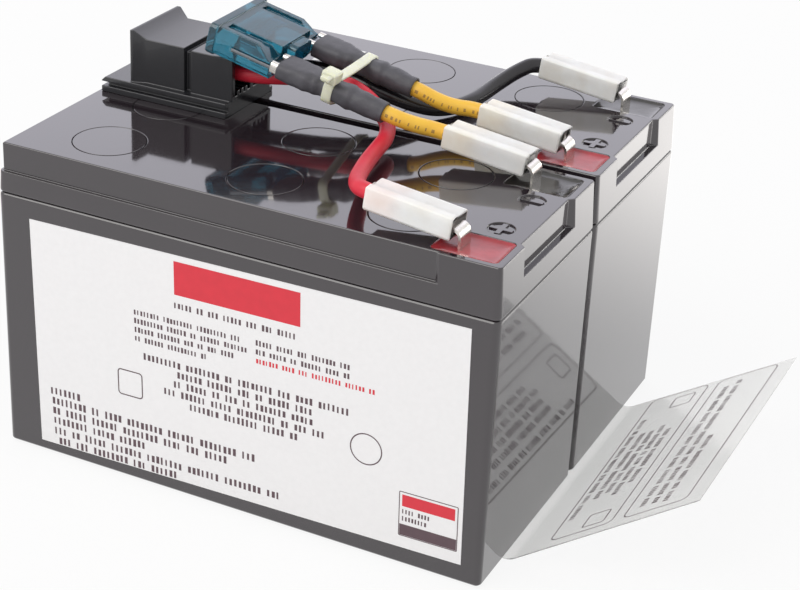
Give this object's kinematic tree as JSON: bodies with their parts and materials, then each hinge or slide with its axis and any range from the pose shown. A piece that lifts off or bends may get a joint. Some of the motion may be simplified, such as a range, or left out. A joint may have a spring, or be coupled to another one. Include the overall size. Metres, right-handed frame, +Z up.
{
  "type": "ups battery cartridge",
  "caption": "Sealed lead-acid batteries side by side on a clear pull film, joined in series by a blade fuse, with a two-pole connector on leads.",
  "frame": {"origin": "centre of the underside of the pack, under the middle of the two cases, on the film's lower face", "axes": "+X along the batteries towards the terminals and the pull film, +Y across to the rear battery, +Z up"},
  "size_m": [0.2017, 0.1312, 0.1226],
  "materials": {
    "battery_plastic": "black glossy moulded ABS",
    "cap_rubber": "black moulded rubber",
    "lead_metal": "dull grey cast and pasted lead",
    "tinned_brass": "bright tin-plated brass",
    "resin_red": "red casting resin",
    "resin_black": "black casting resin",
    "boot_nylon": "milky translucent nylon",
    "wire_red": "red PVC insulation, softly glossy",
    "wire_black": "black PVC insulation, softly glossy",
    "wire_yellow": "yellow PVC insulation, softly glossy",
    "fuse_plastic": "transparent teal moulded polycarbonate",
    "shrink_sleeve": "dark grey heat-shrink polyolefin",
    "tie_nylon": "natural nylon, slightly translucent",
    "connector_plastic": "black moulded polycarbonate, half gloss",
    "film": "clear printed polyester film",
    "label_paper": "white coated paper",
    "sticker_paper": "white paper",
    "foam_tape": "black double-sided foam tape"
  },
  "bodies": {
    "root": {"battery_tape": "foam_tape", "boot_front_negative": "boot_nylon", "boot_front_positive": "boot_nylon", "boot_rear_negative": "boot_nylon", "boot_rear_positive": "boot_nylon", "cable_tie": "tie_nylon", "case_front": "battery_plastic", "case_rear": "battery_plastic", "cell_links_front": "lead_metal", "cell_links_rear": "lead_metal", "connector_contact_black": "tinned_brass", "connector_contact_red": "tinned_brass", "connector_housing": "connector_plastic", "fuse_element": "tinned_brass", "fuse_housing": "fuse_plastic", "fuse_receptacle_front": "tinned_brass", "fuse_receptacle_rear": "tinned_brass", "label_front": "label_paper", "lid_front": "battery_plastic", "lid_rear": "battery_plastic", "plate_group_front_1": "lead_metal", "plate_group_front_2": "lead_metal", "plate_group_front_3": "lead_metal", "plate_group_front_4": "lead_metal", "plate_group_front_5": "lead_metal", "plate_group_front_6": "lead_metal", "plate_group_rear_1": "lead_metal", "plate_group_rear_2": "lead_metal", "plate_group_rear_3": "lead_metal", "plate_group_rear_4": "lead_metal", "plate_group_rear_5": "lead_metal", "plate_group_rear_6": "lead_metal", "pull_film": "film", "receptacle_front_negative": "tinned_brass", "receptacle_front_positive": "tinned_brass", "receptacle_rear_negative": "tinned_brass", "receptacle_rear_positive": "tinned_brass", "seal_front_negative": "resin_black", "seal_front_positive": "resin_red", "seal_rear_negative": "resin_black", "seal_rear_positive": "resin_red", "sleeve_front": "shrink_sleeve", "sleeve_rear": "shrink_sleeve", "sticker": "sticker_paper", "tab_front_negative": "tinned_brass", "tab_front_positive": "tinned_brass", "tab_rear_negative": "tinned_brass", "tab_rear_positive": "tinned_brass", "valve_caps_front": "cap_rubber", "valve_caps_rear": "cap_rubber", "vent_covers_front": "battery_plastic", "vent_covers_rear": "battery_plastic", "wire_black": "wire_black", "wire_red": "wire_red", "wire_yellow_front": "wire_yellow", "wire_yellow_rear": "wire_yellow"}
  },
  "joints": []
}
